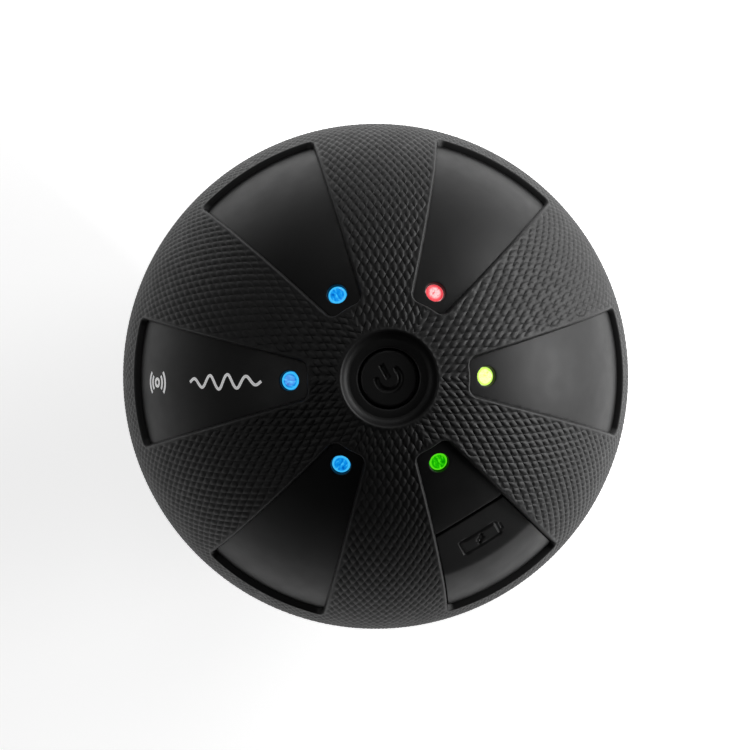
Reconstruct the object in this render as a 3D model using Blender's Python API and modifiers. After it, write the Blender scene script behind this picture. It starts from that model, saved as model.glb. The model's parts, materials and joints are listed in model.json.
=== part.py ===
"""Vibrating massage ball: a battery-powered ball with a knurled silicone skin, smooth raised pads,
a push button with six indicator lenses round it, and a charging door.
Frame: +Z up along the button's axis, origin on the floor under the ball, -Y through the charging door."""
import math

import bmesh
import bpy
from mathutils import Matrix, Vector

MM = 0.001

# ---- driving dimensions, millimetres and degrees ----
BALL_R = 39.5            # outside of the knurled skin
SKIN_IN_R = 37.6         # inside of the skin
HOUSING_OUT_R = 37.3
HOUSING_IN_R = 35.0
PAD_R = 38.5             # top of the smooth pads
CENTRE_Z = 39.25         # ball centre above the floor: the base pad's face is just proud of the ball
SPLIT = 0.15             # half of the parting gap at the equator
PAD_AZIMUTHS = [270, 330, 30, 90, 150, 210]
WINDOW_IN = 17.3        # polar angles of a window's two ends
WINDOW_OUT = 69.2
SIDE_TAN, SIDE_LEAN = 0.27357, 0.0193   # the window's side planes
CORNER_R = 0.8
GAP = 0.3
RECESS_R = 6.84          # button recess at the ball's surface
RECESS_FLOOR_Z = 37.4
BUTTON_R = 4.0
BUTTON_TRAVEL = 0.6
LENS_POLAR = 21.2
LENS_R = 1.3
FACET_TILT, FACET_DIST = 36.7, 37.17    # straight-sided thumb facet of the charging door, a cone about the button's axis
DOOR_EDGE = 23.15        # the door's straight inner edge, distance from the button's axis
DOOR_HINGE_POLAR, DOOR_HINGE_R = 66.45, 38.8
MOTOR_Z = 10.6
MOTOR_R = 12.2
CELL_Z = -14.0
CELL_R = 9.15
BOSS_R, BOSS_AT = 3.6, 29.0
BOSS_AZIMUTHS = [60, 120, 240, 300]
POST_AZIMUTHS = (350, 100, 220)   # the pillars that carry the main board
PORT_Z = 19.3
SEGS = 36

for old in list(bpy.data.objects):
    bpy.data.objects.remove(old, do_unlink=True)

parts = bpy.data.collections.new("massage_ball")
cutters = bpy.data.collections.new("cutters")
bpy.context.scene.collection.children.link(parts)
bpy.context.scene.collection.children.link(cutters)


def material(name, colour, roughness, metallic=0.0):
    m = bpy.data.materials.new(name)
    m.use_nodes = True
    b = m.node_tree.nodes["Principled BSDF"]
    b.inputs["Base Color"].default_value = (*colour, 1.0)
    b.inputs["Roughness"].default_value = roughness
    b.inputs["Metallic"].default_value = metallic
    m.diffuse_color = (*colour, 1.0)
    return m


SILICONE = material("black_silicone", (0.020, 0.020, 0.021), 0.55)
SATIN = material("satin_black", (0.014, 0.014, 0.015), 0.38)
RUBBER = material("black_rubber", (0.018, 0.018, 0.019), 0.5)
BOARD = material("board_green", (0.02, 0.16, 0.06), 0.45)
STEEL = material("steel", (0.55, 0.55, 0.56), 0.3, 1.0)
BRASS = material("brass", (0.72, 0.52, 0.22), 0.35, 1.0)
COPPER = material("copper", (0.72, 0.35, 0.18), 0.35, 1.0)
CELL = material("cell_wrap", (0.03, 0.16, 0.42), 0.35)
DARK = material("dark_plastic", (0.03, 0.03, 0.032), 0.5)
GREY = material("grey_plastic", (0.22, 0.23, 0.24), 0.5)
FERRITE = material("ferrite", (0.05, 0.05, 0.055), 0.7)
RED = material("red_wire", (0.6, 0.02, 0.02), 0.4)
BLACKW = material("black_wire", (0.01, 0.01, 0.01), 0.4)
LENS = {
    c: material("lens_" + c, rgb, 0.15)
    for c, rgb in {"blue": (0.02, 0.25, 1.0), "green": (0.05, 0.8, 0.1), "lime": (0.45, 0.9, 0.1), "red": (1.0, 0.08, 0.08)}.items()
}


# ---- helpers: everything is given in millimetres from the ball's centre ----
def new_object(name, mesh, mat=None, cutter=False):
    ob = bpy.data.objects.new(name, mesh)
    ob.location = (0, 0, CENTRE_Z * MM)
    (cutters if cutter else parts).objects.link(ob)
    if cutter:
        ob.hide_render = True
        ob.display_type = "WIRE"
    if mat:
        mesh.materials.append(mat)
    return ob


def from_bmesh(name, bm, mat=None, cutter=False, smooth=False, recalc=True):
    if recalc:
        bmesh.ops.recalc_face_normals(bm, faces=bm.faces)
    if bm.calc_volume(signed=True) < 0:
        bmesh.ops.reverse_faces(bm, faces=bm.faces)
    mesh = bpy.data.meshes.new(name)
    bm.to_mesh(mesh)
    bm.free()
    ob = new_object(name, mesh, mat, cutter)
    if smooth:
        mesh.shade_smooth()
        mesh.set_sharp_from_angle(angle=math.radians(35))
    return ob


def add_box(bm, lo, hi, turn=None):
    lo, hi = Vector(lo), Vector(hi)
    size, mid = (hi - lo) * MM, (hi + lo) / 2 * MM
    m = Matrix.Translation(mid) @ Matrix.Diagonal((*size, 1.0))
    if turn:
        m = turn @ m
    bmesh.ops.create_cube(bm, size=1.0, matrix=m)


def add_rod(bm, r, p0, p1, segs=16, r_end=None):
    a, b = Vector(p0) * MM, Vector(p1) * MM
    d = b - a
    m = Matrix.Translation((a + b) / 2) @ d.to_track_quat("Z", "Y").to_matrix().to_4x4()
    bmesh.ops.create_cone(bm, cap_ends=True, segments=segs, radius1=r * MM, radius2=(r if r_end is None else r_end) * MM,
                          depth=d.length, matrix=m)


def box(name, lo, hi, mat=None, cutter=False):
    bm = bmesh.new()
    add_box(bm, lo, hi)
    return from_bmesh(name, bm, mat, cutter)


def rod(name, r, p0, p1, mat=None, cutter=False, segs=16):
    bm = bmesh.new()
    add_rod(bm, r, p0, p1, segs)
    return from_bmesh(name, bm, mat, cutter, smooth=True)


def turned(name, profile, mat=None, cutter=False, segs=SEGS, closed=True):
    """A profile of (radius, height) points, outer side from top to bottom, turned round the Z axis."""
    n = len(profile)
    edges = [(i, i + 1) for i in range(n - 1)] + ([(n - 1, 0)] if closed else [])
    mesh = bpy.data.meshes.new(name)
    mesh.from_pydata([(r * MM, 0, z * MM) for r, z in profile], edges, [])
    ob = new_object(name, mesh, mat, cutter)
    s = ob.modifiers.new("turn", "SCREW")
    s.axis, s.angle, s.screw_offset = "Z", 2 * math.pi, 0
    s.steps = s.render_steps = segs
    s.use_merge_vertices, s.merge_threshold = True, 0.00001
    s.use_smooth_shade = False
    return ob


def cut(ob, tool, operation="DIFFERENCE"):
    b = ob.modifiers.new(operation.lower(), "BOOLEAN")
    b.operation, b.object, b.solver = operation, tool, "EXACT"
    return ob


def arc(radius, start, stop, steps):
    """Profile points on a sphere between two polar angles, in degrees."""
    out = []
    for i in range(steps + 1):
        t = math.radians(start + (stop - start) * i / steps)
        out.append((radius * math.sin(t), radius * math.cos(t)))
    return out


def direction(polar, azimuth):
    t, a = math.radians(polar), math.radians(azimuth)
    return Vector((math.sin(t) * math.cos(a), math.sin(t) * math.sin(a), math.cos(t)))


def side_azimuth(polar, inset):
    """Half the window's width at a polar angle, in degrees of azimuth."""
    t, phi = math.radians(polar), 0.2
    for _ in range(20):
        phi = math.asin(SIDE_TAN * math.cos(phi) - SIDE_LEAN / math.tan(t) - inset / PAD_R * 1.037 / math.sin(t))
    return math.degrees(phi)


def window_outline(inset=0.0, start=WINDOW_IN, stop=WINDOW_OUT, ends=4, corner=CORNER_R):
    """Unit directions round a window whose middle is at azimuth 0, with rounded corners."""
    lean = math.degrees(inset / PAD_R)
    start, stop = start + lean, stop - lean
    hi, ho = side_azimuth(start, inset), side_azimuth(stop, inset)
    corners = [direction(start, -hi), direction(stop, -ho), direction(stop, ho), direction(start, hi)]
    ring = []
    for k, c in enumerate(corners):
        before, after = corners[k - 1], corners[(k + 1) % 4]
        r = corner / PAD_R
        a = (c + (before - c).normalized() * r).normalized()
        b = (c + (after - c).normalized() * r).normalized()
        ring += [a, ((a + 2 * c + b) / 4).normalized(), b]
        if k in (1, 3):  # along the end, towards the next corner
            t = stop if k == 1 else start
            h = ho if k == 1 else hi
            for j in range(1, ends):
                s = -h + 2 * h * j / ends
                ring.append(direction(t, s if k == 1 else -s))
    return ring


def add_prism(bm, outline, azimuth, r0, r1, flip=False):
    """A loft between the outline at two radii, closed with a fan at each end."""
    turn = Matrix.Rotation(math.radians(azimuth), 3, "Z")
    mid = sum(outline, Vector()).normalized()
    pts = [turn @ p for p in outline]
    mid = turn @ mid
    if flip:
        for p in pts + [mid]:
            p.z = -p.z
    low = [bm.verts.new(p * r0 * MM) for p in pts]
    top = [bm.verts.new(p * r1 * MM) for p in pts]
    c0, c1 = bm.verts.new(mid * r0 * MM), bm.verts.new(mid * r1 * MM)
    n = len(pts)
    for i in range(n):
        j = (i + 1) % n
        bm.faces.new((low[i], low[j], top[j], top[i]))
        bm.faces.new((top[i], top[j], c1))
        bm.faces.new((low[j], low[i], c0))


def prisms(name, azimuths, inset, r0, r1, flip=False, **kw):
    bm = bmesh.new()
    for a in azimuths:
        add_prism(bm, window_outline(inset, **kw), a, r0, r1, flip)
    return from_bmesh(name, bm, cutter=True, recalc=False)


def shell(name, outer, inner, start, stop, cutter=True, mat=None, steps=9):
    return turned(name, arc(outer, start, stop, steps) + arc(inner, stop, start, steps), mat, cutter)


def flipped(profile):
    """The same turned profile mirrored through the equator, keeping its running direction."""
    return [(r, -z) for r, z in reversed(profile)]


def ball(name, r):
    bm = bmesh.new()
    bmesh.ops.create_uvsphere(bm, u_segments=SEGS, v_segments=18, radius=r * MM)
    return from_bmesh(name, bm, cutter=True)


def at(radius, azimuth, z):
    a = math.radians(azimuth)
    return (radius * math.cos(a), radius * math.sin(a), z)


# ---- grip skins ----
edge_polar = math.degrees(math.asin(RECESS_R / BALL_R))
skin_stop = math.degrees(math.acos(SPLIT / BALL_R))
skin_in_stop = math.degrees(math.acos(SPLIT / SKIN_IN_R))
top_profile = arc(BALL_R, edge_polar, skin_stop, 9) + arc(SKIN_IN_R, skin_in_stop, math.degrees(math.asin(6.0 / SKIN_IN_R)), 9)
window_cut = prisms("window_cutter", PAD_AZIMUTHS, 0.0, 33, 50)
window_cut_low = prisms("window_cutter_low", PAD_AZIMUTHS, 0.0, 33, 50, flip=True)
upper_skin = cut(turned("upper_grip_skin", top_profile, SILICONE), window_cut)
low_profile = arc(BALL_R, edge_polar, skin_stop, 9) + arc(SKIN_IN_R, skin_in_stop, math.degrees(math.asin(RECESS_R / SKIN_IN_R)), 9)
lower_skin = cut(turned("lower_grip_skin", flipped(low_profile), SILICONE), window_cut_low)

# ---- housings: wall, raised pads, posts ----
out_stop = math.degrees(math.acos(SPLIT / HOUSING_OUT_R))
in_stop = math.degrees(math.acos(SPLIT / HOUSING_IN_R))
groove = [(36.85, SPLIT), (36.85, 1.1), (35.55, 1.1), (35.55, SPLIT)]
upper_profile = (
    [(BUTTON_R + 0.35, RECESS_FLOOR_Z), (5.8, RECESS_FLOOR_Z)]
    + arc(HOUSING_OUT_R, math.degrees(math.asin(5.8 / HOUSING_OUT_R)), out_stop, 9)
    + groove
    + arc(HOUSING_IN_R, in_stop, math.degrees(math.asin((BUTTON_R + 0.35) / HOUSING_IN_R)), 9)
)
upper = turned("upper_housing", upper_profile, SATIN)

pads = cut(shell("pads_upper", PAD_R, 36.2, 12, 74), prisms("pad_prisms", PAD_AZIMUTHS, GAP, 33, 50), "INTERSECT")
cut(upper, pads, "UNION")

inside = ball("inside_ball", 36.4)
bm = bmesh.new()
for a in BOSS_AZIMUTHS:
    add_rod(bm, BOSS_R, at(BOSS_AT, a, -1.9), at(BOSS_AT, a, 36), 12)
for a in POST_AZIMUTHS:
    add_rod(bm, 2.4, at(18, a, 26.3), at(18, a, 42), 12)
posts = cut(from_bmesh("upper_posts", bm, cutter=True), inside, "INTERSECT")
cut(upper, posts, "UNION")

# local thickening, port tunnel and board rails behind the charging door
backing = cut(shell("door_backing", 36.0, 33.0, 25, 80), prisms("backing_prism", [270], -1.8, 28, 50, start=34, stop=71), "INTERSECT")
cut(upper, backing, "UNION")
bm = bmesh.new()
add_box(bm, (-7.4, -34, PORT_Z - 4.6), (7.4, -22.8, PORT_Z + 4.6))
tunnel = cut(from_bmesh("tunnel_block", bm, cutter=True), inside, "INTERSECT")
cut(upper, tunnel, "UNION")
bm = bmesh.new()
for s in (-1, 1):
    add_box(bm, (min(s * 5.3, s * 7.9), -35, 13.6), (max(s * 5.3, s * 7.9), -14.2, 15.9))
rails = cut(from_bmesh("board_rails", bm, cutter=True), inside, "INTERSECT")
cut(upper, rails, "UNION")

recess = cut(shell("door_recess", 45, 35.0, 15, 85), prisms("recess_prism", [270], 0.0, 33, 60), "INTERSECT")
keep = box("recess_limit", (-14, -60, -2), (14, -DOOR_EDGE + 0.2, 60), cutter=True)
cut(recess, keep, "INTERSECT")
cut(upper, recess)
pocket = box("port_pocket", (-6.0, -60, PORT_Z - 3.2), (6.0, -23.8, PORT_Z + 3.2), cutter=True)
cut(upper, pocket)
mouth = box("port_mouth", (-4.8, -30, PORT_Z - 1.95), (4.8, -15, PORT_Z + 1.95), cutter=True)
cut(upper, mouth)

bm = bmesh.new()
for a in PAD_AZIMUTHS:
    d = direction(LENS_POLAR, a)
    add_rod(bm, LENS_R + GAP, d * 31, d * 44, 16)
for a in BOSS_AZIMUTHS:
    add_rod(bm, 1.3, at(BOSS_AT, a, -8), at(BOSS_AT, a, 8.0), 10)
for a in POST_AZIMUTHS:
    add_rod(bm, 1.15, at(18, a, 20), at(18, a, 29.6), 10)
cut(upper, from_bmesh("upper_bores", bm, cutter=True))

lower_profile = [(0.0, HOUSING_OUT_R)] + arc(HOUSING_OUT_R, 8, out_stop, 9) + groove + arc(HOUSING_IN_R, in_stop, 8, 9) + [(0.0, HOUSING_IN_R)]
lower = turned("lower_housing", flipped(lower_profile), SATIN, closed=False)
low_pads = cut(turned("pads_lower", flipped(arc(PAD_R, 12, 74, 9) + arc(36.2, 74, 12, 9)), cutter=True),
               prisms("pad_prisms_low", PAD_AZIMUTHS, GAP, 33, 50, flip=True), "INTERSECT")
cut(lower, low_pads, "UNION")
bm = bmesh.new()
for a in BOSS_AZIMUTHS:
    add_rod(bm, BOSS_R, at(BOSS_AT, a, -36), at(BOSS_AT, a, -4.3), 12)
low_posts = cut(from_bmesh("lower_posts", bm, cutter=True), inside, "INTERSECT")
cut(lower, low_posts, "UNION")
bm = bmesh.new()
for a in BOSS_AZIMUTHS:
    add_rod(bm, 1.3, at(BOSS_AT, a, -30), at(BOSS_AT, a, 0), 10)
cut(lower, from_bmesh("screw_holes", bm, cutter=True))
bm = bmesh.new()
for a in BOSS_AZIMUTHS:
    add_rod(bm, 2.5, at(BOSS_AT, a, -40), at(BOSS_AT, a, -18.2), 12)
cut(lower, from_bmesh("head_holes", bm, cutter=True))

turned("equator_seal", [(36.55, 0.8), (36.55, -0.8), (35.85, -0.8), (35.85, 0.8)], RUBBER)
pad = turned("base_pad", [(0.0, -37.6), (6.5, -37.6), (6.5, -39.05), (6.3, -CENTRE_Z), (0.0, -CENTRE_Z)], RUBBER, closed=False, segs=24)

# ---- power button: cap, retaining flange and stem in one, sliding down ----
button = turned("power_button", [
    (0.0, RECESS_FLOOR_Z), (3.8, RECESS_FLOOR_Z), (BUTTON_R, RECESS_FLOOR_Z - 0.2), (BUTTON_R, 34.3), (5.2, 34.3), (5.2, 33.5),
    (1.6, 33.5), (1.6, 30.6), (0.0, 30.6)], SATIN, closed=False, segs=24)
# a square switch body with a blind round hole for its plunger
switch = box("tactile_switch", (-3.0, -3.0, 26.3), (3.0, 3.0, 29.4), STEEL)
cut(switch, rod("switch_hole", 1.8, (0, 0, 27.4), (0, 0, 32), cutter=True))
turned("switch_plunger", [(0.0, 30.3), (1.5, 30.3), (1.5, 28.3), (0.0, 28.3)], DARK, closed=False, segs=16)

# ---- indicator lenses and chips ----
colours = {270: "green", 330: "lime", 30: "red", 90: "blue", 150: "blue", 210: "blue"}
for letter, a in zip("abcdef", PAD_AZIMUTHS):
    d = direction(LENS_POLAR, a)
    rod("led_lens_" + letter, LENS_R, d * 29.9, d * 38.25, LENS[colours[a]])
    c = at(29.9 * math.sin(math.radians(LENS_POLAR)), a, 0)
    bm = bmesh.new()
    add_box(bm, (c[0] - 0.8, c[1] - 0.8, 26.3), (c[0] + 0.8, c[1] + 0.8, 27.0))
    from_bmesh("led_chip_" + letter, bm, LENS[colours[a]])

# ---- boards ----
board = rod("main_board", 21.6, (0, 0, 24.4), (0, 0, 26.0), BOARD, segs=SEGS)
bm = bmesh.new()
for a in POST_AZIMUTHS:
    add_rod(bm, 1.15, at(18, a, 20), at(18, a, 30), 10)
for x, y in ((12.6, 12.4), (9.6, 15.0), (-12.6, 12.4), (-9.6, 15.0)):
    add_rod(bm, 0.6, (x, y, 20), (x, y, 30), 8)
cut(board, from_bmesh("board_holes", bm, cutter=True))
cut(board, box("board_notch", (-9.8, -40, 20), (9.8, -18.4, 30), cutter=True))
for letter, a in zip("abc", POST_AZIMUTHS):
    p = at(18, a, 0)
    turned_screw = turned("board_screw_" + letter, [(0.0, 29.0), (0.85, 29.0), (0.85, 24.1), (1.7, 24.1), (1.7, 23.1), (0.0, 23.1)],
                          STEEL, closed=False, segs=12)
    turned_screw.location = (p[0] * MM, p[1] * MM, CENTRE_Z * MM)
box("controller_chip", (6.0, -12.5, 22.9), (13.0, -5.5, 24.1), DARK)

port_board = box("port_board", (-8.6, -21.9, 16.2), (8.6, -14.2, 17.4), BOARD)



def oblong(name, half_x, half_z, y0, y1, mat=None, cutter=False):
    """A bar along Y with round ends to its outline, centred on the charging port."""
    bm = bmesh.new()
    ring = []
    for k in range(12):
        t = math.radians(-75 + 30 * k)
        side = 1 if k < 6 else -1
        ring.append(bm.verts.new(((side * (half_x - half_z) + half_z * math.cos(t)) * MM, y0 * MM, (PORT_Z + half_z * math.sin(t)) * MM)))
    face = bm.faces.new(ring)
    made = bmesh.ops.extrude_face_region(bm, geom=[face])
    bmesh.ops.translate(bm, verts=[v for v in made["geom"] if isinstance(v, bmesh.types.BMVert)], vec=(0, (y1 - y0) * MM, 0))
    return from_bmesh(name, bm, mat, cutter)


shell_ob = oblong("charge_port_shell", 4.47, 1.6, -23.5, -16.2, STEEL)
cut(shell_ob, oblong("port_hollow", 4.17, 1.3, -30, -16.6, cutter=True))
box("charge_port_tongue", (-3.4, -22.8, PORT_Z - 0.35), (3.4, -16.9, PORT_Z + 0.35), DARK)

# ---- charging door ----
hinge = direction(DOOR_HINGE_POLAR, 270) * DOOR_HINGE_R
door_axis = bpy.data.objects.new("charging_door_axis", None)
door_axis.location = (0, hinge.y * MM, (hinge.z + CENTRE_Z) * MM)
parts.objects.link(door_axis)


def door_shell(name, start, stop, corner):
    ob = shell(name, PAD_R, 35.3, 25, 78, cutter=False, mat=RUBBER, steps=10)
    return cut(ob, prisms(name + "_outline", [270], 0.4, 33, 50, start=start, stop=stop, corner=corner), "INTERSECT")


door = door_shell("charging_door", 24.0, DOOR_HINGE_POLAR - 0.25 + 0.6, 0.4)
cut(door, box("door_limit", (-14, -60, -2), (14, -DOOR_EDGE - 0.25, 60), cutter=True), "INTERSECT")
t = math.radians(FACET_TILT)
facet = turned("door_facet", [(0.0, 60.0), (42.0, 60.0), (42.0, (FACET_DIST - 42.0 * math.sin(t)) / math.cos(t)), (0.0, FACET_DIST / math.cos(t))],
               cutter=True, segs=72)
cut(door, facet)
hollow = cut(box("door_hollow", (-5.7, -60, PORT_Z - 3.1), (5.7, -23, PORT_Z + 3.4), cutter=True), ball("hollow_ball", 36.5), "INTERSECT")
cut(door, hollow)
strip = door_shell("door_hinge_strip", DOOR_HINGE_POLAR + 0.25 - 0.6, WINDOW_OUT + 0.25, 0.4)

# ---- motor: can, magnets, rotor with a weight at each end ----


def along_x(ob, z=MOTOR_Z):
    ob.rotation_euler = (0, math.radians(90), 0)
    ob.location = (0, 0, (CENTRE_Z + z) * MM)
    return ob


can = along_x(turned("motor_can", [
    (2.9, 15.5), (11.6, 15.5), (12.2, 14.9), (12.2, -15.5), (11.3, -15.5), (11.3, 14.6), (2.9, 14.6)], STEEL, segs=24))
along_x(turned("motor_end_cap", [(2.9, -14.2), (11.0, -14.2), (11.0, -15.6), (11.9, -15.9), (11.9, -16.9), (2.9, -16.9)], DARK, segs=24))
along_x(turned("motor_bushing_front", [(1.8, 16.6), (2.6, 16.6), (2.6, 13.2), (1.8, 13.2)], BRASS, segs=16))
along_x(turned("motor_bushing_rear", [(1.8, -13.6), (2.6, -13.6), (2.6, -17.4), (1.8, -17.4)], BRASS, segs=16))


def half_ring(name, r_out, r_in, x0, x1, half_angle, mid_angle, mat, steps=8, z=MOTOR_Z):
    """A part of a tube along X, as a flat outline given thickness."""
    pts = []
    for i in range(steps + 1):
        t = math.radians(mid_angle - half_angle + 2 * half_angle * i / steps)
        pts.append((r_out * math.cos(t), r_out * math.sin(t)))
    for i in range(steps, -1, -1):
        t = math.radians(mid_angle - half_angle + 2 * half_angle * i / steps)
        pts.append((r_in * math.cos(t), r_in * math.sin(t)))
    return outline_along_x(name, pts, x0, x1, mat, z)


def outline_along_x(name, pts, x0, x1, mat, z=0.0, cutter=False):
    """A closed outline of (y, z) points, extruded along X."""
    bm = bmesh.new()
    vs = [bm.verts.new((x0 * MM, y * MM, (h + z) * MM)) for y, h in pts]
    face = bm.faces.new(vs)
    made = bmesh.ops.extrude_face_region(bm, geom=[face])
    moved = [v for v in made["geom"] if isinstance(v, bmesh.types.BMVert)]
    bmesh.ops.translate(bm, verts=moved, vec=((x1 - x0) * MM, 0, 0))
    return from_bmesh(name, bm, mat, cutter)


half_ring("motor_magnet_upper", 11.0, 9.7, -9, 11, 58, 90, FERRITE)
half_ring("motor_magnet_lower", 11.0, 9.7, -9, 11, 58, 270, FERRITE)

rotor_axis = bpy.data.objects.new("rotor_axis", None)
rotor_axis.location = (0, 0, (CENTRE_Z + MOTOR_Z) * MM)
parts.objects.link(rotor_axis)
rotor = [along_x(turned("motor_shaft", [(0.0, 26.2), (1.3, 26.2), (1.5, 26.0), (1.5, -26.0), (1.3, -26.2), (0.0, -26.2)], STEEL, closed=False, segs=16))]
rotor.append(along_x(turned("motor_armature", [(1.8, 9.0), (9.3, 9.0), (9.3, -7.0), (1.8, -7.0)], COPPER, segs=24)))
rotor.append(along_x(turned("motor_commutator", [(1.8, -8.0), (3.6, -8.0), (3.6, -12.6), (1.8, -12.6)], COPPER, segs=16)))
for name, x0, x1 in (("eccentric_weight_left", -25.4, -18.0), ("eccentric_weight_right", 18.0, 25.4)):
    pts = [(10.4 * math.cos(math.radians(t)), 10.4 * math.sin(math.radians(t))) for t in range(180, 361, 15)]
    pts += [(4.2 * math.cos(math.radians(t)), 4.2 * math.sin(math.radians(t))) for t in range(0, 181, 30)]
    w = outline_along_x(name, pts, x0, x1, BRASS, MOTOR_Z)
    cut(w, rod(name + "_bore", 1.8, (x0 - 2, 0, MOTOR_Z), (x1 + 2, 0, MOTOR_Z), cutter=True))
    rotor.append(w)

# ---- chassis between the halves, motor strap ----
chassis = rod("chassis", 33.0, (0, 0, -4.0), (0, 0, -2.2), GREY, segs=SEGS)
bm = bmesh.new()
for s in (-1, 1):
    add_box(bm, (s * 12 - 1.8, -15.5, -3.0), (s * 12 + 1.8, 15.5, 6.4))
cut(chassis, from_bmesh("saddles", bm, cutter=True), "UNION")
cut(chassis, rod("motor_space", MOTOR_R + 0.35, (-17, 0, MOTOR_Z), (17, 0, MOTOR_Z), cutter=True, segs=24))
bm = bmesh.new()
for a in BOSS_AZIMUTHS:
    add_rod(bm, 1.3, at(BOSS_AT, a, -8), at(BOSS_AT, a, 2), 10)
for s in (-1, 1):
    add_rod(bm, 1.0, (0, s * 16.2, -8), (0, s * 16.2, 2), 10)
    add_rod(bm, 1.0, (14 * s, s * 12.75, -8), (14 * s, s * 12.75, -1), 10)
    add_rod(bm, 1.6, (s * 24.5, 13.5, -8), (s * 24.5, 13.5, 2), 10)
cut(chassis, from_bmesh("chassis_holes", bm, cutter=True))

pts = [(12.55 * math.cos(math.radians(t)), 12.55 * math.sin(math.radians(t))) for t in range(0, 181, 15)]
pts += [(-12.55, -12.4), (-18.6, -12.4), (-18.6, -11.7), (-13.15, -11.7)]
pts += [(13.15 * math.cos(math.radians(t)), 13.15 * math.sin(math.radians(t))) for t in range(180, -1, -15)]
pts += [(13.15, -11.7), (18.6, -11.7), (18.6, -12.4), (12.55, -12.4)]
strap = outline_along_x("motor_strap", pts, -4.0, 4.0, STEEL, MOTOR_Z)
bm = bmesh.new()
for s in (-1, 1):
    add_rod(bm, 1.25, (0, s * 16.2, -6), (0, s * 16.2, 4), 10)
cut(strap, from_bmesh("strap_holes", bm, cutter=True))
for letter, s in (("a", -1), ("b", 1)):
    screw = turned("strap_screw_" + letter, [(0.0, 0.6), (1.8, 0.6), (1.8, -0.8), (0.7, -0.8), (0.7, -4.6), (0.0, -4.6)], STEEL, closed=False, segs=12)
    screw.location = (0, s * 16.2 * MM, CENTRE_Z * MM)

# ---- cell and its cradle ----
along_x(turned("battery_cell", [(0.0, 24.6), (3.0, 24.6), (3.0, 24.0), (9.15, 24.0), (9.15, -24.6), (0.0, -24.6)], CELL, closed=False, segs=20), CELL_Z)
R0, R1 = 9.5, 10.7
pts = [(R1, 8.2), (14.8, 8.2), (14.8, 9.7), (R0, 9.7)]
pts += [(R0 * math.cos(math.radians(t)), R0 * math.sin(math.radians(t))) for t in range(0, -181, -20)]
pts += [(-R0, 9.7), (-14.8, 9.7), (-14.8, 8.2), (-R1, 8.2)]
pts += [(R1 * math.cos(math.radians(t)), R1 * math.sin(math.radians(t))) for t in range(-180, 1, 20)]
cradle = outline_along_x("cell_cradle", pts, -20.0, 20.0, GREY, CELL_Z)
bm = bmesh.new()
for s in (-1, 1):
    add_rod(bm, 1.15, (14 * s, s * 12.75, -8), (14 * s, s * 12.75, -1), 10)
cut(cradle, from_bmesh("cradle_holes", bm, cutter=True))
for letter, s in (("a", -1), ("b", 1)):
    screw = turned("cradle_screw_" + letter, [(0.0, -2.6), (0.7, -2.6), (0.7, -6.1), (1.7, -6.1), (1.7, -7.3), (0.0, -7.3)], STEEL, closed=False, segs=12)
    screw.location = (14 * s * MM, s * 12.75 * MM, CENTRE_Z * MM)
box("cell_tab_plus", (24.95, -3.0, CELL_Z - 3), (25.35, 3.0, CELL_Z + 3), STEEL)
box("cell_tab_minus", (-25.35, -3.0, CELL_Z - 3), (-24.95, 3.0, CELL_Z + 3), STEEL)

# ---- housing screws ----
for letter, a in zip("abcd", BOSS_AZIMUTHS):
    p = at(BOSS_AT, a, 0)
    screw = turned("housing_screw_" + letter, [(0.0, 7.4), (1.0, 7.4), (1.0, -18.5), (2.1, -18.5), (2.1, -20.2), (0.0, -20.2)], STEEL, closed=False, segs=12)
    screw.location = (p[0] * MM, p[1] * MM, CENTRE_Z * MM)


# ---- inside leads ----
def smooth_path(points, n=14):
    """Points on a Catmull-Rom curve through the route's own points."""
    p = [Vector(q) for q in points]
    p = [2 * p[0] - p[1]] + p + [2 * p[-1] - p[-2]]
    out, spans = [], len(p) - 3
    for k in range(n + 1):
        u = k / n * spans
        i = min(int(u), spans - 1)
        t = u - i
        a, b, c, d = p[i:i + 4]
        out.append(0.5 * ((2 * b) + (c - a) * t + (2 * a - 5 * b + 4 * c - d) * t * t + (3 * b - a - 3 * c + d) * t * t * t))
    return out


def lead(name, points, mat, r=0.6):
    curve = bpy.data.curves.new(name, "CURVE")
    curve.dimensions = "3D"
    curve.bevel_depth, curve.bevel_resolution, curve.use_fill_caps = r * MM, 1, True
    pts = smooth_path(points)
    spline = curve.splines.new("POLY")
    spline.points.add(len(pts) - 1)
    for q, v in zip(spline.points, pts):
        q.co = (*(v * MM), 1.0)
    curve.materials.append(mat)
    ob = bpy.data.objects.new(name, curve)
    ob.location = (0, 0, CENTRE_Z * MM)
    parts.objects.link(ob)


lead("cell_lead_plus", [(26.3, 0, -14), (27.4, 5, -13.4), (26.6, 11, -9.5), (24.5, 13.5, -3), (22.5, 14.6, 5), (18, 14.6, 14), (14, 13.2, 20), (12.6, 12.4, 24.0)], RED)
lead("cell_lead_minus", [(-26.3, 0, -14), (-27.4, 5, -13.4), (-26.6, 11, -9.5), (-24.5, 13.5, -3), (-22.5, 14.6, 5), (-18, 14.6, 14), (-14, 13.2, 20), (-12.6, 12.4, 24.0)], BLACKW)
lead("motor_lead_plus", [(-17.0, 12.4, 13), (-15.4, 15.4, 14.5), (-11.5, 16.4, 18), (-9.6, 15.0, 24.0)], RED, 0.45)
lead("motor_lead_minus", [(-17.0, 12.9, 8.5), (-13.0, 17.2, 9.5), (0, 18.6, 13), (8.0, 17.0, 19), (9.6, 15.0, 24.0)], BLACKW, 0.45)

bpy.context.view_layer.update()
for ob in [door] + rotor:
    parent = door_axis if ob is door else rotor_axis
    where = ob.matrix_world.copy()
    ob.parent = parent
    ob.matrix_parent_inverse = parent.matrix_world.inverted()
    ob.matrix_world = where
bpy.context.view_layer.update()
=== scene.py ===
"""Finished look of the vibrating massage ball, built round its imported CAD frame.
All sizes in millimetres from the ball's centre until a mesh is made."""
import json
import math

import bmesh
import bpy
import numpy as np
from mathutils import Matrix, Vector


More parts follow.
